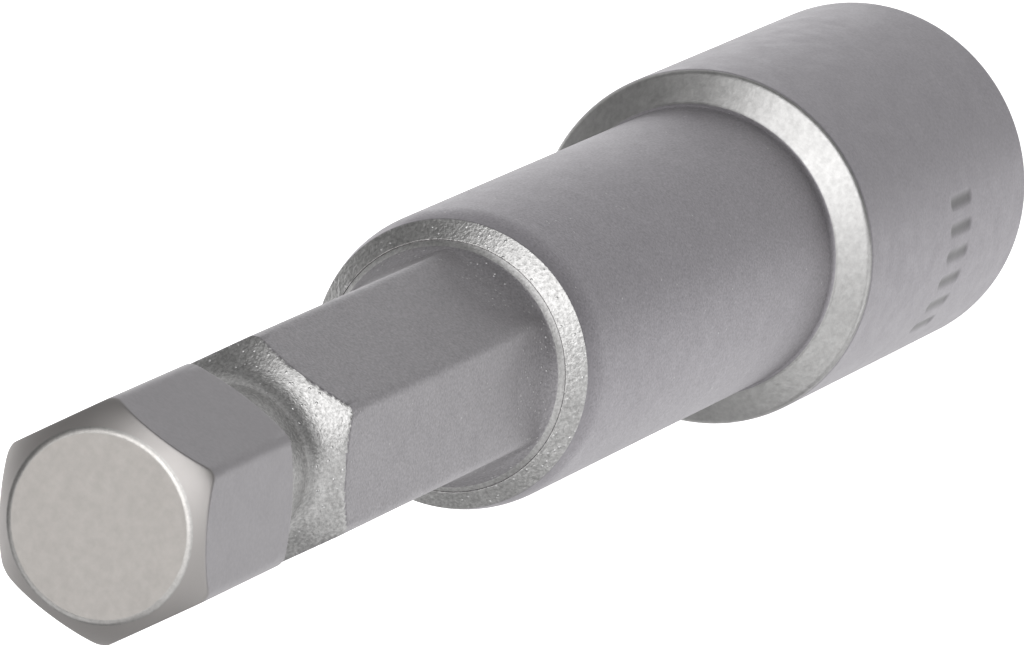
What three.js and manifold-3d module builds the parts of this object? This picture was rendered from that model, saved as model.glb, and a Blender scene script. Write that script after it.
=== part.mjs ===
// Magnetic nut setter: a hex drive shank pressed into a stepped socket body, with a sprung magnet inside.
// Millimetres. The socket's mouth lies on Z = 0 and the shank points up along +Z.

import * as THREE from 'three';
import { mergeVertices } from 'three/addons/utils/BufferGeometryUtils.js';
import Module from 'manifold-3d';

const wasm = await Module();
wasm.setup();

// Lengths along the axis
const BODY_LENGTH = 37.92;
const SHANK_LENGTH = 27.08;
const SOCKET_LENGTH = 15.25;
const HEX_SOCKET_DEPTH = 9.0;
const GUIDE_WALL_LENGTH = 3.0;
const SPIGOT_LENGTH = 9.82;

// Hex socket for an 8 mm head, and the wall round it
const HEAD_ACROSS_FLATS = 8.0;
const HEAD_CLEARANCE = 0.1;
const SOCKET_WALL = 1.05;
const MOUTH_CHAMFER = 0.1;
const LEAD_IN = 0.27;
const SOCKET_FLOOR_CONE = 0.4;
const SHOULDER_ANGLE_DEG = 60;

// Quarter-inch hex shank
const SHANK_ACROSS_FLATS = 6.35;
const SHANK_CORNER_CUT = 0.066;
const TIP_CHAMFER = 0.82;
const TIP_CHAMFER_LENGTH = 0.56;
const DETENT_FROM_TIP = 8.9;
const DETENT_DEPTH = 1.225;
const DETENT_ARC_RADIUS = 3.0;

// Collar and flare at the shank's root, and the body's lip round the collar
const COLLAR_STEP = 0.245;
const COLLAR_DEPTH = 0.6;
const COLLAR_PROUD = 0.12;
const COLLAR_EDGE = 0.09;
const FLARE_RADIUS = 4.0;
const FLARE_SINK = 0.08;
const SPIGOT_CHAMFER = 0.4;
const BARREL_LIP = 0.725;
const REAR_TAPER = 0.17;
const REAR_TAPER_LENGTH = 0.65;
const REAR_FACE_LENGTH = 0.42;

// Magnet and its sliding carrier
const MAGNET_DIAMETER = 5.0;
const MAGNET_LENGTH = 5.0;
const MAGNET_EDGE = 0.15;
const MAGNET_DEPTH = 5.5;
const MAGNET_PROUD = 0.1;
const CUP_WALL = 0.67;
const CUP_EDGE = 0.2;
const FLANGE_LEDGE = 0.27;
const FLANGE_THICKNESS = 1.5;
const FLANGE_EDGE = 0.2;
const STEM_DIAMETER = 2.6;
const STEM_LENGTH = 5.5;
const STEM_EDGE = 0.3;

// Compression spring
const SPRING_WIRE = 0.5;
const SPRING_PITCH = 1.6;
const SPRING_STEPS_PER_TURN = 8;
const SPRING_WIRE_SIDES = 5;
const SPRING_LEAST_GAP = 0.4;

// Clearances
const PRESS_CLEARANCE = 0.02;
const COLLAR_CLEARANCE = 0.03;
const SEAT_CLEARANCE = 0.02;
const GUIDE_CLEARANCE = 0.05;
const FLANGE_CLEARANCE = 0.1;
const GLUE_CLEARANCE = 0.03;
const SPRING_STEM_CLEARANCE = 0.75;
const SPRING_SEAT_CLEARANCE = 0.3;

// Facets
const ROUND_SEGMENTS = 72;
const ARC_STEPS = 8;
const CUT_MARGIN = 1.0;
const WELD_TOLERANCE = 1e-5;

// Radii, from the magnet outwards and from the head outwards
const pocketRadius = MAGNET_DIAMETER / 2 + GLUE_CLEARANCE;
const cupRadius = pocketRadius + CUP_WALL;
const guideRadius = cupRadius + GUIDE_CLEARANCE;
const flangeRadius = guideRadius + FLANGE_LEDGE;
const boreRadius = flangeRadius + FLANGE_CLEARANCE;
const spigotRadius = boreRadius - PRESS_CLEARANCE;
const shankCornerRadius = SHANK_ACROSS_FLATS / Math.sqrt(3) - SHANK_CORNER_CUT;
const collarRadius = Math.max(shankCornerRadius, boreRadius) + COLLAR_STEP;
const counterboreRadius = collarRadius + COLLAR_CLEARANCE;
const barrelRadius = counterboreRadius + BARREL_LIP;
const socketFlats = HEAD_ACROSS_FLATS + HEAD_CLEARANCE;
const socketCornerRadius = socketFlats / Math.sqrt(3);
const socketRadius = socketCornerRadius + SOCKET_WALL;

// Heights along the axis
const overallLength = BODY_LENGTH + SHANK_LENGTH;
const shoulderAngle = THREE.MathUtils.degToRad(SHOULDER_ANGLE_DEG);
const shoulderTop = SOCKET_LENGTH + (socketRadius - barrelRadius) / Math.tan(shoulderAngle);
const rearEdge = BODY_LENGTH - REAR_FACE_LENGTH;
const guideWallTop = HEX_SOCKET_DEPTH + GUIDE_WALL_LENGTH;
const collarBottom = BODY_LENGTH - COLLAR_DEPTH + SEAT_CLEARANCE;
const collarTop = BODY_LENGTH + COLLAR_PROUD;
const spigotBottom = collarBottom - SPIGOT_LENGTH;
const cupFront = MAGNET_DEPTH + MAGNET_PROUD;
const magnetTop = MAGNET_DEPTH + MAGNET_LENGTH;
const pocketFloor = magnetTop + SEAT_CLEARANCE;
const flangeFront = guideWallTop + SEAT_CLEARANCE;
const flangeRear = flangeFront + FLANGE_THICKNESS;
const stemEnd = flangeRear + STEM_LENGTH;

// Geometry with shared corners and positions only, so that it is one closed mesh.
function weld(geometry) {
  const bare = geometry.clone();
  bare.deleteAttribute('normal');
  bare.deleteAttribute('uv');
  return mergeVertices(bare, WELD_TOLERANCE);
}

// The corners of every triangle that has three different ones; those on the axis of a revolve can collapse.
function wholeTriangles(index) {
  const corners = [];
  for (let first = 0; first < index.length; first += 3) {
    const [a, b, c] = index.slice(first, first + 3);
    if (a !== b && b !== c && c !== a) corners.push(a, b, c);
  }
  return new Uint32Array(corners);
}

// A solid from a closed geometry.
function toSolid(geometry) {
  const welded = weld(geometry);
  const vertProperties = new Float32Array(welded.attributes.position.array);
  const triVerts = wholeTriangles(welded.index.array);
  return new wasm.Manifold(new wasm.Mesh({ numProp: 3, vertProperties, triVerts }));
}

// A flat-shaded geometry from a solid.
function toGeometry(solid) {
  const mesh = solid.getMesh();
  const geometry = new THREE.BufferGeometry();
  geometry.setAttribute('position', new THREE.BufferAttribute(mesh.vertProperties, 3));
  geometry.setIndex(new THREE.BufferAttribute(mesh.triVerts, 1));
  geometry.computeVertexNormals();
  return geometry;
}

// A body of revolution about Z, from points given as [radius, height], anticlockwise round the material.
function revolve(profile) {
  const points = profile.map(([radius, height]) => new THREE.Vector2(radius, height));
  const lathe = new THREE.LatheGeometry(points, ROUND_SEGMENTS);
  return lathe.rotateX(Math.PI / 2);
}

// A hexagonal prism between two heights, with flats facing +X and -X.
function hexPrism(acrossFlats, bottom, top) {
  const cornerRadius = acrossFlats / Math.sqrt(3);
  const outline = new THREE.Shape();
  for (let corner = 0; corner < 6; corner += 1) {
    const angle = THREE.MathUtils.degToRad(30 + 60 * corner);
    const x = cornerRadius * Math.cos(angle);
    const y = cornerRadius * Math.sin(angle);
    if (corner === 0) outline.moveTo(x, y);
    else outline.lineTo(x, y);
  }
  outline.closePath();
  const prism = new THREE.ExtrudeGeometry(outline, { depth: top - bottom, bevelEnabled: false });
  return prism.translate(0, 0, bottom);
}

// Points of an arc in the radius and height plane, from one angle to another.
function arcPoints(centreRadius, centreHeight, arcRadius, fromAngle, toAngle) {
  const points = [];
  for (let step = 0; step <= ARC_STEPS; step += 1) {
    const angle = THREE.MathUtils.lerp(fromAngle, toAngle, step / ARC_STEPS);
    points.push([centreRadius + arcRadius * Math.cos(angle), centreHeight + arcRadius * Math.sin(angle)]);
  }
  return points;
}

function steel(colour, roughness) {
  return new THREE.MeshStandardMaterial({ color: colour, roughness, metalness: 1 });
}

function part(name, geometry, material) {
  const mesh = new THREE.Mesh(geometry, material);
  mesh.name = name;
  return mesh;
}

// Hex bar with a chamfered tip and a round detent groove, flared at its root into a collar and a spigot.
function makeDriveShank() {
  const detentCentre = overallLength - DETENT_FROM_TIP;
  const arcCentreRadius = shankCornerRadius - DETENT_DEPTH + DETENT_ARC_RADIUS;
  const detentReach = Math.acos(1 - DETENT_DEPTH / DETENT_ARC_RADIUS);
  const detent = arcPoints(
    arcCentreRadius,
    detentCentre,
    DETENT_ARC_RADIUS,
    Math.PI + detentReach,
    Math.PI - detentReach,
  );
  const envelope = revolve([
    [0, BODY_LENGTH],
    [shankCornerRadius, BODY_LENGTH],
    ...detent,
    [shankCornerRadius, overallLength - TIP_CHAMFER_LENGTH],
    [shankCornerRadius - TIP_CHAMFER, overallLength],
    [0, overallLength],
  ]);
  const hexBar = hexPrism(SHANK_ACROSS_FLATS, BODY_LENGTH - CUT_MARGIN, overallLength + CUT_MARGIN);
  const grip = toSolid(hexBar).intersect(toSolid(envelope));

  const flareRoot = SHANK_ACROSS_FLATS / 2 - FLARE_SINK;
  const flareTopRadius = collarRadius - COLLAR_EDGE;
  const flareSweep = Math.acos(1 - (flareTopRadius - flareRoot) / FLARE_RADIUS);
  const flareEnd = collarTop + FLARE_RADIUS * Math.sin(flareSweep);
  const flare = arcPoints(
    flareRoot + FLARE_RADIUS,
    flareEnd,
    FLARE_RADIUS,
    Math.PI + flareSweep,
    Math.PI,
  );
  const root = revolve([
    [0, spigotBottom],
    [spigotRadius - SPIGOT_CHAMFER, spigotBottom],
    [spigotRadius, spigotBottom + SPIGOT_CHAMFER],
    [spigotRadius, collarBottom],
    [collarRadius, collarBottom],
    [collarRadius, collarTop - COLLAR_EDGE],
    ...flare,
    [0, flareEnd],
  ]);
  return part('drive_shank', toGeometry(grip.add(toSolid(root))), steel(0x8f8e90, 0.5));
}

// Stepped sleeve: hex socket in front, guide wall for the carrier, bore for the spring and the spigot.
function makeSocketBody() {
  const leadInRadius = socketCornerRadius + LEAD_IN;
  const sleeve = revolve([
    [guideRadius, 0],
    [socketRadius - MOUTH_CHAMFER, 0],
    [socketRadius, MOUTH_CHAMFER],
    [socketRadius, SOCKET_LENGTH],
    [barrelRadius, shoulderTop],
    [barrelRadius, rearEdge - REAR_TAPER_LENGTH],
    [barrelRadius - REAR_TAPER, rearEdge],
    [counterboreRadius, BODY_LENGTH],
    [counterboreRadius, BODY_LENGTH - COLLAR_DEPTH],
    [boreRadius, BODY_LENGTH - COLLAR_DEPTH],
    [boreRadius, guideWallTop],
    [guideRadius, guideWallTop],
    [guideRadius, 0],
  ]);
  const leadIn = revolve([
    [0, -CUT_MARGIN],
    [leadInRadius + CUT_MARGIN, -CUT_MARGIN],
    [0, leadInRadius],
  ]);
  const floorCone = revolve([
    [0, HEX_SOCKET_DEPTH - CUT_MARGIN],
    [guideRadius + SOCKET_FLOOR_CONE + CUT_MARGIN, HEX_SOCKET_DEPTH - CUT_MARGIN],
    [guideRadius, HEX_SOCKET_DEPTH + SOCKET_FLOOR_CONE],
    [0, HEX_SOCKET_DEPTH + SOCKET_FLOOR_CONE],
  ]);
  const hexHole = hexPrism(socketFlats, -CUT_MARGIN, HEX_SOCKET_DEPTH);
  const floorCut = toSolid(floorCone).intersect(toSolid(hexPrism(socketFlats, 0, guideWallTop)));
  const body = toSolid(sleeve).subtract(toSolid(hexHole)).subtract(toSolid(leadIn)).subtract(floorCut);
  return part('socket_body', toGeometry(body), steel(0x97979a, 0.45));
}

// Brass plunger: a cup for the magnet, a flange that stops on the guide wall, and a stem inside the spring.
function makeMagnetCarrier() {
  const stemRadius = STEM_DIAMETER / 2;
  const plunger = revolve([
    [0, pocketFloor],
    [pocketRadius, pocketFloor],
    [pocketRadius, cupFront],
    [cupRadius - CUP_EDGE, cupFront],
    [cupRadius, cupFront + CUP_EDGE],
    [cupRadius, flangeFront],
    [flangeRadius, flangeFront],
    [flangeRadius, flangeRear - FLANGE_EDGE],
    [flangeRadius - FLANGE_EDGE, flangeRear],
    [stemRadius, flangeRear],
    [stemRadius, stemEnd - STEM_EDGE],
    [stemRadius - STEM_EDGE, stemEnd],
    [0, stemEnd],
  ]);
  const brass = new THREE.MeshStandardMaterial({ color: 0xb08d4a, roughness: 0.4, metalness: 1 });
  return part('magnet_carrier', toGeometry(toSolid(plunger)), brass);
}

// Nickel-plated rod magnet with broken edges, glued into the carrier's cup.
function makeMagnet() {
  const magnetRadius = MAGNET_DIAMETER / 2;
  const rod = revolve([
    [0, MAGNET_DEPTH],
    [magnetRadius - MAGNET_EDGE, MAGNET_DEPTH],
    [magnetRadius, MAGNET_DEPTH + MAGNET_EDGE],
    [magnetRadius, magnetTop - MAGNET_EDGE],
    [magnetRadius - MAGNET_EDGE, magnetTop],
    [0, magnetTop],
  ]);
  return part('magnet', toGeometry(toSolid(rod)), steel(0xb8b8b6, 0.25));
}

// The spring's centre line, climbing at a steady rate.
class Helix extends THREE.Curve {
  constructor(radius, bottom, top, turns) {
    super();
    this.radius = radius;
    this.bottom = bottom;
    this.top = top;
    this.turns = turns;
  }

  getPoint(share, target = new THREE.Vector3()) {
    const angle = 2 * Math.PI * this.turns * share;
    const height = THREE.MathUtils.lerp(this.bottom, this.top, share);
    return target.set(this.radius * Math.cos(angle), this.radius * Math.sin(angle), height);
  }
}

// The smallest gap between one turn of wire and the next, measured on points of the centre line.
function leastGap(curve, turns, wire) {
  const perTurn = 4 * SPRING_STEPS_PER_TURN;
  const points = curve.getPoints(turns * perTurn);
  let least = Infinity;
  for (let from = 0; from < points.length; from += 1) {
    for (let to = from + perTurn / 2; to < points.length; to += 1) {
      least = Math.min(least, points[from].distanceTo(points[to]));
    }
  }
  return least - wire;
}

// Compression spring between the carrier's flange and the end of the spigot.
function makeMagnetSpring() {
  const wireRadius = SPRING_WIRE / 2;
  const coilRadius = STEM_DIAMETER / 2 + SPRING_STEM_CLEARANCE + wireRadius;
  const bottom = flangeRear + SPRING_SEAT_CLEARANCE + wireRadius;
  const top = spigotBottom - SPRING_SEAT_CLEARANCE - wireRadius;
  const turns = Math.round((top - bottom) / SPRING_PITCH);
  const curve = new Helix(coilRadius, bottom, top, turns);
  const circle = new THREE.EllipseCurve(0, 0, wireRadius, wireRadius);
  const section = new THREE.Shape(circle.getPoints(SPRING_WIRE_SIDES).slice(0, -1));
  const gap = leastGap(curve, turns, SPRING_WIRE);
  console.log(`spring: least gap between turns ${gap.toFixed(3)} mm, wanted over ${SPRING_LEAST_GAP} mm`);
  const steps = turns * SPRING_STEPS_PER_TURN;
  const coil = new THREE.ExtrudeGeometry(section, { steps, extrudePath: curve, bevelEnabled: false });
  return part('magnet_spring', toGeometry(toSolid(coil)), steel(0x9a9a98, 0.3));
}

const nutSetter = new THREE.Group();
nutSetter.name = 'nut_setter';
nutSetter.add(makeSocketBody());
nutSetter.add(makeDriveShank());
nutSetter.add(makeMagnetCarrier());
nutSetter.add(makeMagnet());
nutSetter.add(makeMagnetSpring());

export default nutSetter;
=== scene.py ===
"""Magnetic nut setter: fine meshes, metal finishes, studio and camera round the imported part.

Everything is in metres in the part's frame: +Z is up, and the socket's mouth is on the floor.
"""

import math

import bpy
from mathutils import Matrix, Vector


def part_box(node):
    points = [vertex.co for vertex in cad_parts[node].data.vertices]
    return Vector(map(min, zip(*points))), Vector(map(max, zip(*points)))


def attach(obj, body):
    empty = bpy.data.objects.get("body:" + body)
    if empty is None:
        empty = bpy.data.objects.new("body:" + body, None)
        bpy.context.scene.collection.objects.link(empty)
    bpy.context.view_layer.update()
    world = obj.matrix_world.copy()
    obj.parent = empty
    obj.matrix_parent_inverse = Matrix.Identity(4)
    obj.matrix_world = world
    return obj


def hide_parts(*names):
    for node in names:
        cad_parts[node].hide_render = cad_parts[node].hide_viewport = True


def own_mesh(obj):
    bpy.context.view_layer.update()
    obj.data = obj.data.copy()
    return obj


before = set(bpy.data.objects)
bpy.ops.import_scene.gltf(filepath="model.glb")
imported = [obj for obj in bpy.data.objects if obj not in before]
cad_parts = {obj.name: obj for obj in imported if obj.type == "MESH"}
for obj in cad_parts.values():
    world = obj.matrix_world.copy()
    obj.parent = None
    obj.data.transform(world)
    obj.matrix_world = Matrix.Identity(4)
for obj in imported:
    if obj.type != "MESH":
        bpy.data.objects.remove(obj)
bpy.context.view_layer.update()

MM = 0.001

# Sizes that the frame's boxes give
SHANK_LOW, SHANK_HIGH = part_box("drive_shank")
BODY_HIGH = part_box("socket_body")[1]
CARRIER_LOW, CARRIER_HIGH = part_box("magnet_carrier")
MAGNET_LOW, MAGNET_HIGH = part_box("magnet")
SPRING_LOW, SPRING_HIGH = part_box("magnet_spring")
TIP = SHANK_HIGH.z
SPIGOT_END = SHANK_LOW.z
COLLAR_RADIUS = SHANK_HIGH.x
SOCKET_RADIUS = BODY_HIGH.x
BODY_END = BODY_HIGH.z

# Hex shank
HEX_FLATS = 6.35 * MM
HEX_CORNER_RADIUS = 3.6 * MM
HEX_CORNER_BLEND = 0.06 * MM
TIP_CHAMFER = 0.82 * MM
TIP_CHAMFER_LENGTH = 0.56 * MM
TIP_BULGE = 1.4
TIP_FILLET = 0.32 * MM
TIP_BLEND = 0.04 * MM
TIP_SHINE = 0.05 * MM
DETENT_FROM_TIP = 8.9 * MM
DETENT_DEPTH = 1.225 * MM
DETENT_LENGTH = 4.84 * MM
DETENT_WALL = math.radians(50)
DETENT_BLEND = 0.55 * MM
CREASE = 0.05 * MM
GROOVE_FINISH_DEPTH = CREASE / 3

# Flare, collar and spigot at the shank's root
FLARE_RADIUS = 4.0 * MM
FLARE_SINK = 0.08 * MM
FLARE_BLEND = 0.3 * MM
COLLAR_PROUD = 0.12 * MM
COLLAR_SEAT = 0.58 * MM
COLLAR_FILLET = 0.03 * MM
LIP_WIDTH = 0.17 * MM
LIP_HEIGHT = 0.155 * MM
SPIGOT_RADIUS = 3.6 * MM
SPIGOT_CHAMFER = 0.4 * MM
SPIGOT_FILLET = 0.05 * MM

# Socket body
BARREL_RADIUS = 4.62 * MM
SOCKET_LENGTH = 15.25 * MM
SHOULDER_ANGLE = math.radians(60)
SHOULDER_RIM_FILLET = 0.3 * MM
SHOULDER_FOOT_FILLET = 0.32 * MM
REAR_TAPER = 0.17 * MM
REAR_TAPER_LENGTH = 0.65 * MM
REAR_TAPER_FILLET = 4.0 * MM
REAR_FACE_LENGTH = 0.42 * MM
REAR_FACE_FILLET = 0.08 * MM
SEAM = 0.003 * MM
COUNTERBORE_RADIUS = COLLAR_RADIUS + SEAM
COUNTERBORE_DEPTH = 0.6 * MM
COUNTERBORE_FILLET = 0.02 * MM
BORE_RADIUS = 3.62 * MM
GUIDE_RADIUS = 3.25 * MM
GUIDE_TOP = 12.0 * MM
GUIDE_FILLET = 0.03 * MM
HEX_SOCKET_FLATS = 8.1 * MM
HEX_SOCKET_DEPTH = 9.0 * MM
SOCKET_FLOOR_CONE = 0.4 * MM
LEAD_IN = 0.27 * MM
MOUTH_CHAMFER = 0.1 * MM
MOUTH_OUTER_FILLET = 0.1 * MM
MOUTH_INNER_FILLET = 0.08 * MM

# Where the body's finishes meet, measured from its edges
SHOULDER_FINISH_RISE = SHOULDER_FOOT_FILLET / 3
SHOULDER_FINISH_DROP = 0.05 * MM
REAR_FINISH_RISE = 0.005 * MM
SOCKET_FINISH_RISE = 0.03 * MM
BARREL_FINISH_DROP = 0.1 * MM

# Row of plain stamped bars on the socket's side
BAR_COUNT = 6
BAR_FIRST_DEG = -51.5
BAR_STEP_DEG = -9.0
BAR_HEIGHT = 6.5 * MM
BAR_LENGTH = 2.2 * MM
BAR_WIDTH = 0.65 * MM
BAR_DEPTH = 0.05 * MM

# Magnet's carrier
CUP_RADIUS = 3.2 * MM
CUP_CHAMFER = 0.2 * MM
POCKET_RADIUS = 2.53 * MM
POCKET_GAP = 0.02 * MM
FLANGE_FRONT = 12.02 * MM
FLANGE_THICKNESS = 1.5 * MM
FLANGE_CHAMFER = 0.2 * MM
STEM_RADIUS = 1.3 * MM
STEM_CHAMFER = 0.3 * MM
CARRIER_FILLET = 0.04 * MM

# Magnet and spring
MAGNET_CHAMFER = 0.15 * MM
MAGNET_FILLET = 0.05 * MM
SPRING_WIRE = 0.5 * MM
SPRING_TURNS = 9.5
SPRING_CLOSED_TURNS = 1.1

# Points for a bar: columns across it, and their reach as shares of its half width and its length
BAR_COLUMNS = 12
BAR_COLUMN_REACH = 1.3
BAR_ROW_REACH = 0.55

# Mesh density
SHANK_COLUMNS = 384
BODY_COLUMNS = SHANK_COLUMNS // 2
TURNED_COLUMNS = SHANK_COLUMNS // 4
ARC_STEPS = 8
SUPPORT = 0.015 * MM
TIP_STEP = 0.02 * MM
FINE_STEP = 0.06 * MM
STRAIGHT_STEP = 1.0 * MM
SPRING_STEPS_PER_TURN = 36
SPRING_WIRE_SIDES = 12
SHARP_ANGLE = math.radians(28)

# Tints of the metals
STEEL = (0.418, 0.401, 0.428)
# Dark tint painted into the stamped bars as their shade
STAMP_PAINTED_SHADE = (0.23, 0.225, 0.23)
SHANK_STEEL = (0.418, 0.404, 0.422)
TIP_STEEL = (0.412, 0.398, 0.414)
CHAMFER_STEEL = (0.475, 0.455, 0.445)
BRIGHT_STEEL = (0.57, 0.565, 0.56)
WORN_STEEL = (0.478, 0.457, 0.44)
EDGE_STEEL = (0.48, 0.47, 0.46)
LIP_STEEL = (0.56, 0.555, 0.55)
BRASS = (0.6, 0.44, 0.21)
NICKEL = (0.6, 0.59, 0.56)
WIRE_STEEL = (0.48, 0.47, 0.46)

# Grain, cloudy patches and raised specks of the metals, the specks painted bright as glints
NOISE_LOW = 0.3
NOISE_HIGH = 0.7
NOISE_ROUGHNESS = 0.6
GRAIN_DETAIL = 2.0
CLOUD_SIZE = 0.8 * MM
CLOUD_DETAIL = 3.0
SPECK_SPACING = 0.2 * MM
SPECK_CORE = 0.08
SPECK_EDGE = 0.22
SPECK_HEIGHT = 0.014 * MM
# Bright tint painted on the raised specks as glints
PAINTED_GLINT_TINT = (0.75, 0.75, 0.75)
SHADE = "shade"
BLASTED = {"spread": 0.18, "rough": (0.4, 0.46), "grain": 0.08 * MM, "depth": 0.012 * MM}

# Camera at the photograph's place: a long lens that looks down on the shank's tip
IMAGE_WIDTH = 1024
SENSOR_WIDTH = 36.0
FOCAL_PIXELS = 12608.8
CAMERA_PLACE = Vector((131.325, -75.522, 387.080)) * MM
CAMERA_RIGHT = Vector((0.514287, -0.780065, -0.356381))
CAMERA_UP = Vector((0.787520, 0.594090, -0.163919))
CAMERA_BACK = CAMERA_RIGHT.cross(CAMERA_UP)
CLIP_START = 0.01
CLIP_END = 20.0

# Floor
FLOOR_SIZE = 12.0
FLOOR_GREY = 0.8
FLOOR_ROUGHNESS = 0.9
FLOOR_GLOW = 0.9

# Grey of the studio by direction, from 0 behind the part to 1 at the camera
STUDIO_GREYS = (
    (0.0, 0.64),
    (0.04, 0.46),
    (0.1, 0.31),
    (0.2, 0.265),
    (0.35, 0.23),
    (0.5, 0.1),
    (0.62, 0.075),
    (0.74, 0.11),
    (0.84, 0.24),
    (0.92, 0.46),
    (1.0, 0.76),
)
STUDIO_STRENGTH = 2.0

# Soft lights: name, direction along the camera's right, up and back, strength, width and colour
SOFT = 0.65
WIDE = 1.4
WHITE = (1, 1, 1)
WARM_WHITE = (1, 0.98, 0.95)
SUNS = (
    ("left", (-0.43, -0.08, 0.9), 0.56, SOFT, WARM_WHITE),
    ("right", (0.45, 0.3, 0.84), 0.27, SOFT, WHITE),
    ("top", (0.05, 0.66, 0.75), 0.27, SOFT, WHITE),
    ("front", (-0.1, -0.75, 0.66), 0.22, SOFT, WHITE),
    ("low_right", (0.83, -0.38, 0.41), 0.22, SOFT, WHITE),
    ("low_front", (0.52, -0.8, 0.3), 0.18, SOFT, WHITE),
    ("low_left", (-0.76, -0.59, 0.26), 0.25, SOFT, WHITE),
    ("below", (-0.09, -0.98, 0.16), 0.07, SOFT, WHITE),
    ("under_right", (0.82, -0.46, -0.34), 0.29, WIDE, WHITE),
    ("under_left", (-0.79, -0.01, -0.61), 0.25, SOFT, WHITE),
    ("behind_right", (0.54, -0.22, -0.81), 0.05, SOFT, WHITE),
    ("behind_top", (-0.15, 0.3, -0.94), 0.08, SOFT, WHITE),
)


# Shapes
def clamp(value):
    """The value, held between 0 and 1."""
    return min(max(value, 0.0), 1.0)


def soft_min(a, b, width):
    """The smaller of two sizes, rounded where they are within width of each other."""
    overlap = max(width - abs(a - b), 0.0) / width
    return min(a, b) - overlap * overlap * width / 4


def soft_max(a, b, width):
    """The larger of two sizes, rounded where they are within width of each other."""
    return -soft_min(-a, -b, width)


def circle(radius):
    """The same radius at every angle."""
    return lambda angle: radius


def hex_radius(angle, flats):
    """Distance from the axis to a sharp hexagon with flats facing +X and -X."""
    sixth = math.pi / 3
    local = (angle + sixth / 2) % sixth - sixth / 2
    return flats / 2 / math.cos(local)


def even_angles(count):
    """Angles spread evenly round the axis."""
    return [math.tau * column / count for column in range(count)]


def steps_between(low, high, spacing):
    """Evenly spread values from low to high, both included."""
    count = max(1, round(abs(high - low) / spacing))
    return [low + (high - low) * step / count for step in range(count + 1)]


def rounded_profile(corners):
    """Points (radius, height) along corners (radius, height, fillet).

    Each fillet is an arc with one more point on either side, so that the faces beside it stay flat.
    """
    points = []
    for place, (radius, height, fillet) in enumerate(corners):
        corner = Vector((radius, height))
        if fillet == 0:
            points.append(corner)
            continue
        before = Vector(corners[place - 1][:2]) - corner
        after = Vector(corners[(place + 1) % len(corners)][:2]) - corner
        before.normalize()
        after.normalize()
        half = before.angle(after) / 2
        reach = fillet / math.tan(half)
        centre = corner + (before + after).normalized() * fillet / math.sin(half)
        start = corner + before * reach - centre
        end = corner + after * reach - centre
        sweep = start.angle_signed(end)
        points.append(corner + before * (reach + SUPPORT))
        for step in range(ARC_STEPS + 1):
            turn = Matrix.Rotation(-sweep * step / ARC_STEPS, 2)
            points.append(centre + turn @ start)
        points.append(corner + after * (reach + SUPPORT))
    return [(point.x, point.y) for point in points]


def ring(angles, radius_at, height):
    """Points round the axis at one height; radius_at gives the radius for an angle."""
    return [
        Vector((radius_at(angle) * math.cos(angle), radius_at(angle) * math.sin(angle), height))
        for angle in angles
    ]


def mark_sharp(mesh, limit):
    """Smooth shading everywhere but across edges that turn more than limit."""
    normals = [polygon.normal.copy() for polygon in mesh.polygons]
    beside = {}
    for polygon in mesh.polygons:
        for key in polygon.edge_keys:
            beside.setdefault(key, []).append(polygon.index)
    mesh.polygons.foreach_set("use_smooth", [True] * len(mesh.polygons))
    sharp = []
    for edge in mesh.edges:
        faces = beside[tuple(sorted(edge.vertices))]
        sharp.append(len(faces) == 2 and normals[faces[0]].angle(normals[faces[1]], 0) > limit)
    mesh.attributes.new("sharp_edge", "BOOLEAN", "EDGE").data.foreach_set("value", sharp)


def skin(name, rings, closed, finishes, finish_at):
    """A closed mesh through rings of points: a loop of rings, or rings with a fan at each end.

    finish_at gives one of the finishes for the centre of a face.
    """
    columns = len(rings[0])
    vertices = [point for row in rings for point in row]
    faces = []
    pairs = len(rings) if closed else len(rings) - 1
    for row in range(pairs):
        here = row * columns
        there = (row + 1) % len(rings) * columns
        for column in range(columns):
            following = (column + 1) % columns
            faces.append((here + column, there + column, there + following, here + following))
    if not closed:
        for row in (0, len(rings) - 1):
            centre = len(vertices)
            vertices.append(Vector([sum(parts) / columns for parts in zip(*rings[row])]))
            for column in range(columns):
                here = row * columns + column
                following = row * columns + (column + 1) % columns
                faces.append((here, following, centre) if row == 0 else (following, here, centre))
    mesh = bpy.data.meshes.new(name)
    mesh.from_pydata(vertices, [], faces)
    mesh.update()
    for finish in finishes:
        mesh.materials.append(finish)
    chosen = [finishes.index(finish_at(face.center)) for face in mesh.polygons]
    mesh.polygons.foreach_set("material_index", chosen)
    mark_sharp(mesh, SHARP_ANGLE)
    piece = bpy.data.objects.new(name, mesh)
    bpy.context.scene.collection.objects.link(piece)
    return piece


def turned(name, corners, finish):
    """A solid of revolution from corners (radius, height, fillet) that start and end on the axis."""
    angles = even_angles(TURNED_COLUMNS)
    profile = rounded_profile(corners)[1:-1]
    rings = [ring(angles, circle(radius), height) for radius, height in profile]
    return skin(name, rings, False, [finish], lambda point: finish)


def set_shade(piece, shade_at):
    """Write how much of its finish's second tint each point of a mesh has."""
    shades = [shade_at(vertex.co) for vertex in piece.data.vertices]
    piece.data.attributes.new(SHADE, "FLOAT", "POINT").data.foreach_set("value", shades)


# Finishes
def node(tree, kind, **values):
    """A new shader node with its settings, or its inputs where a value's name is no setting."""
    made = tree.nodes.new(kind)
    for key, value in values.items():
        if hasattr(made, key):
            setattr(made, key, value)
        else:
            made.inputs[key.replace("_", " ")].default_value = value
    return made


def noise(tree, place, size, detail):
    """Noise with spots of about the given size."""
    made = node(tree, "ShaderNodeTexNoise", Scale=1 / size, Detail=detail, Roughness=NOISE_ROUGHNESS)
    tree.links.new(place, made.inputs["Vector"])
    return made.outputs["Fac"]


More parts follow.
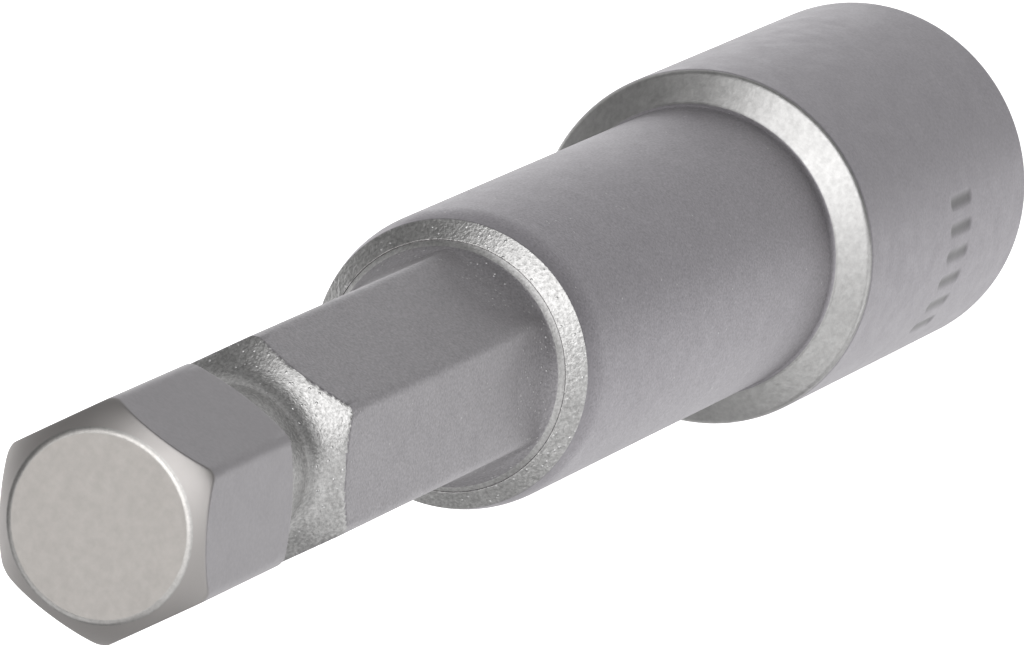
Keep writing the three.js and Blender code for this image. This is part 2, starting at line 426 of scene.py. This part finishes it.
def metal(name, tint, spread, rough, grain, depth, grit_and_glints=0.0, shade=None):
    """Metal with a grain of the given size and depth in its tint, and a cloudy roughness.

    It can have a share of raised specks painted bright as glints, and a second tint where the mesh's
    shade attribute says so.
    """
    material = bpy.data.materials.new(name)
    material.use_nodes = True
    tree = material.node_tree
    link = tree.links.new
    shader = tree.nodes["Principled BSDF"]
    shader.inputs["Metallic"].default_value = 1.0
    place = node(tree, "ShaderNodeTexCoord").outputs["Object"]
    fine = noise(tree, place, grain, GRAIN_DETAIL)
    cloud = noise(tree, place, CLOUD_SIZE, CLOUD_DETAIL)

    bump = node(tree, "ShaderNodeBump", Strength=1.0, Distance=depth)
    link(fine, bump.inputs["Height"])
    link(bump.outputs["Normal"], shader.inputs["Normal"])

    ramp = node(tree, "ShaderNodeValToRGB")
    dark, light = ramp.color_ramp.elements
    dark.position = NOISE_LOW
    dark.color = (*[part * (1 - spread) for part in tint], 1)
    light.position = NOISE_HIGH
    light.color = (*[part * (1 + spread) for part in tint], 1)
    link(fine, ramp.inputs["Fac"])
    colour = ramp.outputs["Color"]
    if grit_and_glints:
        dots = node(tree, "ShaderNodeTexVoronoi", Scale=1 / SPECK_SPACING)
        link(place, dots.inputs["Vector"])
        near = node(
            tree, "ShaderNodeMapRange",
            From_Min=SPECK_CORE, From_Max=SPECK_EDGE, To_Min=1.0, To_Max=0.0,
        )
        link(dots.outputs["Distance"], near.inputs["Value"])
        chance = node(tree, "ShaderNodeMath", operation="LESS_THAN")
        chance.inputs[1].default_value = grit_and_glints
        parts = node(tree, "ShaderNodeSeparateColor")
        link(dots.outputs["Color"], parts.inputs["Color"])
        link(parts.outputs["Red"], chance.inputs[0])
        both = node(tree, "ShaderNodeMath", operation="MULTIPLY")
        link(near.outputs["Result"], both.inputs[0])
        link(chance.outputs[0], both.inputs[1])
        # The specks get a painted glint: a bright tint over the grain
        mix = node(tree, "ShaderNodeMix", data_type="RGBA")
        link(both.outputs[0], mix.inputs["Factor"])
        link(colour, mix.inputs["A"])
        mix.inputs["B"].default_value = (*PAINTED_GLINT_TINT, 1)
        colour = mix.outputs["Result"]
        grit = node(tree, "ShaderNodeBump", Strength=1.0, Distance=SPECK_HEIGHT)
        link(both.outputs[0], grit.inputs["Height"])
        link(grit.outputs["Normal"], bump.inputs["Normal"])
    if shade:
        amount = node(tree, "ShaderNodeAttribute", attribute_name=SHADE)
        stain = node(tree, "ShaderNodeMix", data_type="RGBA")
        link(amount.outputs["Fac"], stain.inputs["Factor"])
        link(colour, stain.inputs["A"])
        stain.inputs["B"].default_value = (*shade, 1)
        colour = stain.outputs["Result"]
    link(colour, shader.inputs["Base Color"])

    uneven = node(
        tree, "ShaderNodeMapRange",
        From_Min=NOISE_LOW, From_Max=NOISE_HIGH, To_Min=rough[0], To_Max=rough[1],
    )
    link(cloud, uneven.inputs["Value"])
    link(uneven.outputs["Result"], shader.inputs["Roughness"])
    return material


# Pieces
def make_shank():
    blasted = metal("shank_blasted", SHANK_STEEL, **BLASTED, grit_and_glints=0.02)
    ground = metal(
        "shank_ground", TIP_STEEL, spread=0.05, rough=(0.4, 0.44),
        grain=0.12 * MM, depth=0.002 * MM, shade=CHAMFER_STEEL,
    )
    groove = metal(
        "shank_groove", BRIGHT_STEEL, spread=0.25, rough=(0.3, 0.38),
        grain=0.1 * MM, depth=0.014 * MM, grit_and_glints=0.4,
    )
    edge_shine = metal(
        "shank_tip_edge", EDGE_STEEL, spread=0.1, rough=(0.3, 0.36),
        grain=0.12 * MM, depth=0.002 * MM,
    )
    face = metal(
        "shank_tip_face", WORN_STEEL, spread=0.05, rough=(0.42, 0.5),
        grain=0.3 * MM, depth=0.002 * MM,
    )
    flare = metal("shank_flare", SHANK_STEEL, **BLASTED, grit_and_glints=0.8)
    lip = metal(
        "shank_lip", LIP_STEEL, spread=0.2, rough=(0.34, 0.42),
        grain=0.1 * MM, depth=0.006 * MM,
    )
    finishes = [blasted, ground, groove, face, flare, lip, edge_shine]

    angles = even_angles(SHANK_COLUMNS)
    detent = TIP - DETENT_FROM_TIP
    detent_half = DETENT_LENGTH / 2
    disc = HEX_CORNER_RADIUS - TIP_CHAMFER
    nose_length = TIP_CHAMFER_LENGTH * TIP_BULGE
    nose_end = TIP - nose_length
    collar_top = BODY_END + COLLAR_PROUD
    flare_foot = HEX_FLATS / 2 - FLARE_SINK
    flare_rise = COLLAR_RADIUS - LIP_WIDTH - flare_foot
    flare_height = math.sqrt(FLARE_RADIUS**2 - (FLARE_RADIUS - flare_rise) ** 2)
    flare_top = collar_top + flare_height
    seat = BODY_END - COLLAR_SEAT
    rings = []

    def add(height, radius_at):
        rings.append(ring(angles, radius_at, height))

    def bar_radius(angle):
        return soft_min(hex_radius(angle, HEX_FLATS), HEX_CORNER_RADIUS, HEX_CORNER_BLEND)

    def nose_radius(height):
        """Radius of the tip's chamfer, which starts as a cone and ends upright on the corners."""
        left = max(1 - (TIP - height) / nose_length, 0)
        return disc + TIP_CHAMFER * (1 - left**TIP_BULGE)

    def groove_radius(height):
        wall = HEX_CORNER_RADIUS - (detent_half - abs(height - detent)) * math.tan(DETENT_WALL)
        return soft_max(HEX_CORNER_RADIUS - DETENT_DEPTH, wall, DETENT_BLEND)

    def flare_radius(height):
        return flare_foot + FLARE_RADIUS - math.sqrt(FLARE_RADIUS**2 - (flare_top - height) ** 2)

    tip = rounded_profile([
        (0, TIP, 0),
        (disc, TIP, TIP_FILLET),
        (HEX_CORNER_RADIUS, TIP - TIP_CHAMFER_LENGTH, 0),
    ])
    edge = tip[1:-1]
    face_radius = edge[1][0]
    for radius, height in edge:
        add(height, lambda angle: soft_min(bar_radius(angle), radius, TIP_BLEND))
    for height in steps_between(edge[-1][1], nose_end, TIP_STEP)[1:]:
        nose = nose_radius(height)
        add(height, lambda angle: soft_min(bar_radius(angle), nose, TIP_BLEND))
    for height in steps_between(nose_end, detent + detent_half, STRAIGHT_STEP)[1:-1]:
        add(height, bar_radius)
    for height in steps_between(detent + detent_half, detent - detent_half, FINE_STEP):
        neck = groove_radius(height)
        add(height, lambda angle: soft_min(bar_radius(angle), neck, CREASE))
    for height in steps_between(detent - detent_half, flare_top, STRAIGHT_STEP)[1:]:
        add(height, bar_radius)
    for height in steps_between(flare_top, collar_top, FINE_STEP)[1:]:
        foot = flare_radius(height)
        share = (flare_top - height) / flare_height
        # The blend is widest half way down the flare
        width = CREASE + FLARE_BLEND * 4 * share * (1 - share)
        add(height, lambda angle: soft_max(bar_radius(angle), foot, width))
    root = rounded_profile([
        (COLLAR_RADIUS - LIP_WIDTH, collar_top, 0),
        (COLLAR_RADIUS, collar_top - LIP_HEIGHT, COLLAR_FILLET),
        (COLLAR_RADIUS, seat, COLLAR_FILLET),
        (SPIGOT_RADIUS, seat, COLLAR_FILLET),
        (SPIGOT_RADIUS, SPIGOT_END + SPIGOT_CHAMFER, SPIGOT_FILLET),
        (SPIGOT_RADIUS - SPIGOT_CHAMFER, SPIGOT_END, SPIGOT_FILLET),
        (0, SPIGOT_END, 0),
    ])
    for radius, height in root[1:-1]:
        add(height, circle(radius))

    def finish_at(point):
        if point.z > TIP - TIP_SHINE:
            return face if math.hypot(point.x, point.y) < face_radius else edge_shine
        if point.z < collar_top:
            return lip
        if point.z < flare_top:
            return flare
        flat = hex_radius(math.atan2(point.y, point.x), HEX_FLATS)
        in_groove = abs(point.z - detent) < detent_half
        if in_groove and groove_radius(point.z) < flat - GROOVE_FINISH_DEPTH:
            return groove
        return ground if point.z > detent else blasted

    def chamfer_at(point):
        """Share of the chamfer's own tint at a point, fading where it meets the flats."""
        if point.z <= nose_end:
            return 0.0
        inset = bar_radius(math.atan2(point.y, point.x)) - nose_radius(point.z)
        return clamp(0.5 + inset / (2 * TIP_BLEND))

    piece = skin("shank", rings, False, finishes, finish_at)
    set_shade(piece, chamfer_at)
    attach(piece, "tool_body")
    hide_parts("drive_shank")


def make_body():
    blasted = metal("body_blasted", STEEL, **BLASTED, grit_and_glints=0.02)
    rim = metal(
        "body_rear_face", BRIGHT_STEEL, spread=0.25, rough=(0.3, 0.38),
        grain=0.11 * MM, depth=0.02 * MM, grit_and_glints=0.6,
    )
    shoulder = metal(
        "body_shoulder", BRIGHT_STEEL, spread=0.1, rough=(0.3, 0.38),
        grain=0.18 * MM, depth=0.006 * MM,
    )
    # The socket's steel, with shade painted into the stamped bars
    satin = metal(
        "body_socket", STEEL, spread=0.1, rough=(0.38, 0.46),
        grain=0.1 * MM, depth=0.006 * MM, shade=STAMP_PAINTED_SHADE,
    )
    bore = metal(
        "body_bore", STEEL, spread=0.1, rough=(0.35, 0.5),
        grain=0.1 * MM, depth=0.01 * MM,
    )
    finishes = [blasted, rim, shoulder, satin, bore]

    bar_angles = [math.radians(BAR_FIRST_DEG + BAR_STEP_DEG * bar) for bar in range(BAR_COUNT)]
    bar_half = BAR_WIDTH / 2 / SOCKET_RADIUS
    bar_columns = [
        (middle + bar_half * BAR_COLUMN_REACH * (2 * step / BAR_COLUMNS - 1)) % math.tau
        for middle in bar_angles
        for step in range(BAR_COLUMNS + 1)
    ]
    bar_reach = BAR_LENGTH * BAR_ROW_REACH
    bar_rows = steps_between(BAR_HEIGHT + bar_reach, BAR_HEIGHT - bar_reach, FINE_STEP)
    angles = sorted(even_angles(BODY_COLUMNS) + bar_columns)
    shoulder_top = SOCKET_LENGTH + (SOCKET_RADIUS - BARREL_RADIUS) / math.tan(SHOULDER_ANGLE)
    rear_edge = BODY_END - REAR_FACE_LENGTH
    counterbore_floor = BODY_END - COUNTERBORE_DEPTH
    lead_radius = HEX_SOCKET_FLATS / math.sqrt(3) + LEAD_IN
    rings = []

    def add(height, radius_at):
        rings.append(ring(angles, radius_at, height))

    def socket_radius(angle):
        return hex_radius(angle, HEX_SOCKET_FLATS)

    def stamped(angle, height):
        """Share of the stamped bars' depth at a place on the socket's side, fading to their edges."""
        along = max(abs(height - BAR_HEIGHT) - BAR_LENGTH / 2 + BAR_WIDTH / 2, 0)
        turns = [(angle - middle + math.pi) % math.tau - math.pi for middle in bar_angles]
        nearest = min(abs(turn) for turn in turns)
        away = min(math.hypot(along, nearest * SOCKET_RADIUS) / (BAR_WIDTH / 2), 1)
        return (1 - away * away) ** 2

    outside = rounded_profile([
        (COUNTERBORE_RADIUS, counterbore_floor, 0),
        (COUNTERBORE_RADIUS, BODY_END, COUNTERBORE_FILLET),
        (BARREL_RADIUS - REAR_TAPER, rear_edge, REAR_FACE_FILLET),
        (BARREL_RADIUS, rear_edge - REAR_TAPER_LENGTH, REAR_TAPER_FILLET),
        (BARREL_RADIUS, shoulder_top, SHOULDER_FOOT_FILLET),
        (SOCKET_RADIUS, SOCKET_LENGTH, SHOULDER_RIM_FILLET),
        (SOCKET_RADIUS, MOUTH_CHAMFER, MOUTH_OUTER_FILLET),
        (SOCKET_RADIUS - MOUTH_CHAMFER, 0, MOUTH_INNER_FILLET),
        (SOCKET_RADIUS - 2 * MOUTH_CHAMFER, 0, 0),
    ])
    add(counterbore_floor, circle(BORE_RADIUS))
    for radius, height in outside[:-1]:
        # The bars' rows come once, between the shoulder and the mouth
        if bar_rows and height < bar_rows[0]:
            for row in bar_rows:
                add(row, lambda angle: SOCKET_RADIUS - BAR_DEPTH * stamped(angle, row))
            bar_rows = []
        add(height, circle(radius))
    for height in steps_between(0, lead_radius - HEX_SOCKET_FLATS / 2, FINE_STEP):
        lead = lead_radius - height
        add(height, lambda angle: soft_max(socket_radius(angle), lead, CREASE))
    add(HEX_SOCKET_DEPTH - SUPPORT, socket_radius)
    add(HEX_SOCKET_DEPTH, socket_radius)
    inside = rounded_profile([
        (GUIDE_RADIUS + SOCKET_FLOOR_CONE, HEX_SOCKET_DEPTH, 0),
        (GUIDE_RADIUS, HEX_SOCKET_DEPTH + SOCKET_FLOOR_CONE, GUIDE_FILLET),
        (GUIDE_RADIUS, GUIDE_TOP, GUIDE_FILLET),
        (BORE_RADIUS, GUIDE_TOP, 0),
    ])
    for radius, height in inside:
        add(height, circle(radius))

    def finish_at(point):
        radius = math.hypot(point.x, point.y)
        above_socket = point.z > SOCKET_LENGTH - SHOULDER_FINISH_DROP
        if above_socket and radius > BARREL_RADIUS + SHOULDER_FINISH_RISE:
            return shoulder
        if point.z > rear_edge and radius > COUNTERBORE_RADIUS + REAR_FINISH_RISE:
            return rim
        if radius > BARREL_RADIUS + SOCKET_FINISH_RISE:
            return satin
        if point.z > SOCKET_LENGTH and radius > BARREL_RADIUS - BARREL_FINISH_DROP:
            return blasted
        return bore

    def stamp_shade_at(point):
        """Share of the shade painted into the stamped bars at a point."""
        outer = math.hypot(point.x, point.y) > SOCKET_RADIUS - 2 * BAR_DEPTH
        if outer and abs(point.z - BAR_HEIGHT) < BAR_LENGTH / 2:
            return stamped(math.atan2(point.y, point.x), point.z)
        return 0.0

    piece = skin("socket", rings, True, finishes, finish_at)
    set_shade(piece, stamp_shade_at)
    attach(piece, "tool_body")
    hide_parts("socket_body")


def make_carrier():
    brass = metal(
        "carrier_brass", BRASS, spread=0.12, rough=(0.25, 0.4),
        grain=0.1 * MM, depth=0.004 * MM,
    )
    flange_radius = CARRIER_HIGH.x
    flange_rear = FLANGE_FRONT + FLANGE_THICKNESS
    pocket_floor = MAGNET_HIGH.z + POCKET_GAP
    piece = turned("carrier", [
        (0, CARRIER_HIGH.z, 0),
        (STEM_RADIUS - STEM_CHAMFER, CARRIER_HIGH.z, CARRIER_FILLET),
        (STEM_RADIUS, CARRIER_HIGH.z - STEM_CHAMFER, CARRIER_FILLET),
        (STEM_RADIUS, flange_rear, CARRIER_FILLET),
        (flange_radius - FLANGE_CHAMFER, flange_rear, CARRIER_FILLET),
        (flange_radius, flange_rear - FLANGE_CHAMFER, CARRIER_FILLET),
        (flange_radius, FLANGE_FRONT, CARRIER_FILLET),
        (CUP_RADIUS, FLANGE_FRONT, CARRIER_FILLET),
        (CUP_RADIUS, CARRIER_LOW.z + CUP_CHAMFER, CARRIER_FILLET),
        (CUP_RADIUS - CUP_CHAMFER, CARRIER_LOW.z, CARRIER_FILLET),
        (POCKET_RADIUS, CARRIER_LOW.z, CARRIER_FILLET),
        (POCKET_RADIUS, pocket_floor, CARRIER_FILLET),
        (0, pocket_floor, 0),
    ], brass)
    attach(piece, "magnet_plunger")
    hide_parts("magnet_carrier")


def make_magnet():
    nickel = metal(
        "magnet_nickel", NICKEL, spread=0.08, rough=(0.15, 0.25),
        grain=0.2 * MM, depth=0.002 * MM,
    )
    radius = MAGNET_HIGH.x
    piece = turned("rod_magnet", [
        (0, MAGNET_HIGH.z, 0),
        (radius - MAGNET_CHAMFER, MAGNET_HIGH.z, MAGNET_FILLET),
        (radius, MAGNET_HIGH.z - MAGNET_CHAMFER, MAGNET_FILLET),
        (radius, MAGNET_LOW.z + MAGNET_CHAMFER, MAGNET_FILLET),
        (radius - MAGNET_CHAMFER, MAGNET_LOW.z, MAGNET_FILLET),
        (0, MAGNET_LOW.z, 0),
    ], nickel)
    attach(piece, "magnet_plunger")
    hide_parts("magnet")


def make_spring():
    """A wound spring whose first and last turns lie against their neighbours."""
    wire = metal(
        "spring_wire", WIRE_STEEL, spread=0.1, rough=(0.25, 0.35),
        grain=0.08 * MM, depth=0.002 * MM,
    )
    wire_radius = SPRING_WIRE / 2
    coil_radius = SPRING_HIGH.x - wire_radius
    steps = round(SPRING_TURNS * SPRING_STEPS_PER_TURN)
    climb = []
    for step in range(steps):
        # The pitch opens over one turn, half of it before the end of the closed turns
        turns_to_end = min(step + 0.5, steps - step - 0.5) / SPRING_STEPS_PER_TURN
        climb.append(clamp(turns_to_end - SPRING_CLOSED_TURNS + 0.5))
    open_steps = sum(climb)
    closed_rise = SPRING_WIRE / SPRING_STEPS_PER_TURN
    travel = SPRING_HIGH.z - SPRING_LOW.z - SPRING_WIRE
    open_rise = (travel - closed_rise * steps) / open_steps
    height = SPRING_HIGH.z - wire_radius
    rings = []
    for step in range(steps + 1):
        angle = math.tau * step / SPRING_STEPS_PER_TURN
        drop = closed_rise + open_rise * climb[min(step, steps - 1)]
        outward = Vector((math.cos(angle), math.sin(angle), 0))
        along = Vector((-math.sin(angle), math.cos(angle), 0))
        along = along * 2 * math.pi * coil_radius / SPRING_STEPS_PER_TURN
        along = (along - Vector((0, 0, drop))).normalized()
        across = outward.cross(along)
        centre = outward * coil_radius + Vector((0, 0, height))
        rings.append([
            centre + (outward * math.cos(turn) + across * math.sin(turn)) * wire_radius
            for turn in even_angles(SPRING_WIRE_SIDES)
        ])
        height -= drop
    piece = skin("wound_spring", rings, False, [wire], lambda point: wire)
    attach(piece, "tool_body")
    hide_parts("magnet_spring")
    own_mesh(piece)


# Camera, floor and light
def make_camera():
    data = bpy.data.cameras.new("camera")
    data.sensor_width = SENSOR_WIDTH
    data.lens = FOCAL_PIXELS / IMAGE_WIDTH * SENSOR_WIDTH
    data.clip_start = CLIP_START
    data.clip_end = CLIP_END
    camera = bpy.data.objects.new("camera", data)
    turn = Matrix((CAMERA_RIGHT, CAMERA_UP, CAMERA_BACK)).transposed()
    camera.matrix_world = Matrix.Translation(CAMERA_PLACE) @ turn.to_4x4()
    bpy.context.scene.collection.objects.link(camera)
    bpy.context.scene.camera = camera


def make_floor():
    mesh = bpy.data.meshes.new("floor")
    half = FLOOR_SIZE / 2
    corners = [(-half, -half, 0), (half, -half, 0), (half, half, 0), (-half, half, 0)]
    mesh.from_pydata(corners, [], [(0, 1, 2, 3)])
    material = bpy.data.materials.new("floor")
    material.use_nodes = True
    shader = material.node_tree.nodes["Principled BSDF"]
    shader.inputs["Base Color"].default_value = (FLOOR_GREY, FLOOR_GREY, FLOOR_GREY, 1)
    shader.inputs["Roughness"].default_value = FLOOR_ROUGHNESS
    shader.inputs["Specular IOR Level"].default_value = 0.0
    shader.inputs["Emission Color"].default_value = (*WHITE, 1)
    shader.inputs["Emission Strength"].default_value = FLOOR_GLOW
    mesh.materials.append(material)
    floor = bpy.data.objects.new("floor", mesh)
    floor.visible_glossy = False
    floor.visible_shadow = False
    bpy.context.scene.collection.objects.link(floor)


def make_world():
    """Studio that is bright round the camera, dark at its sides and lighter behind, seen as white."""
    world = bpy.data.worlds.new("studio")
    bpy.context.scene.world = world
    world.use_nodes = True
    tree = world.node_tree
    link = tree.links.new
    place = node(tree, "ShaderNodeTexCoord").outputs["Generated"]
    along = node(tree, "ShaderNodeVectorMath", operation="DOT_PRODUCT")
    along.inputs[1].default_value = CAMERA_BACK
    link(place, along.inputs[0])
    share = node(tree, "ShaderNodeMapRange", From_Min=-1.0, From_Max=1.0)
    link(along.outputs["Value"], share.inputs["Value"])
    ramp = node(tree, "ShaderNodeValToRGB")
    stops = ramp.color_ramp.elements
    while len(stops) < len(STUDIO_GREYS):
        stops.new(0.5)
    for stop, (position, grey) in zip(stops, STUDIO_GREYS):
        stop.position = position
        stop.color = (grey, grey, grey, 1)
    link(share.outputs["Result"], ramp.inputs["Fac"])
    studio = tree.nodes["Background"]
    link(ramp.outputs["Color"], studio.inputs["Color"])
    studio.inputs["Strength"].default_value = STUDIO_STRENGTH
    white = node(tree, "ShaderNodeBackground", Strength=1.0)
    white.inputs["Color"].default_value = (*WHITE, 1)
    path = node(tree, "ShaderNodeLightPath")
    mix = node(tree, "ShaderNodeMixShader")
    link(path.outputs["Is Camera Ray"], mix.inputs["Fac"])
    link(studio.outputs["Background"], mix.inputs[1])
    link(white.outputs["Background"], mix.inputs[2])
    link(mix.outputs["Shader"], tree.nodes["World Output"].inputs["Surface"])


def make_sun(name, direction, strength, width, colour):
    """A soft light that is far away in a direction along the camera's right, up and back."""
    right, up, back = direction
    toward = (CAMERA_RIGHT * right + CAMERA_UP * up + CAMERA_BACK * back).normalized()
    data = bpy.data.lights.new(name, "SUN")
    data.energy = strength
    data.angle = width
    data.color = colour
    light = bpy.data.objects.new(name, data)
    light.location = toward
    light.rotation_mode = "QUATERNION"
    light.rotation_quaternion = (-toward).to_track_quat("-Z", "Y")
    bpy.context.scene.collection.objects.link(light)


make_shank()
make_body()
make_carrier()
make_magnet()
make_spring()
make_camera()
make_floor()
make_world()
for sun in SUNS:
    make_sun(*sun)
bpy.context.scene.view_settings.view_transform = "Standard"
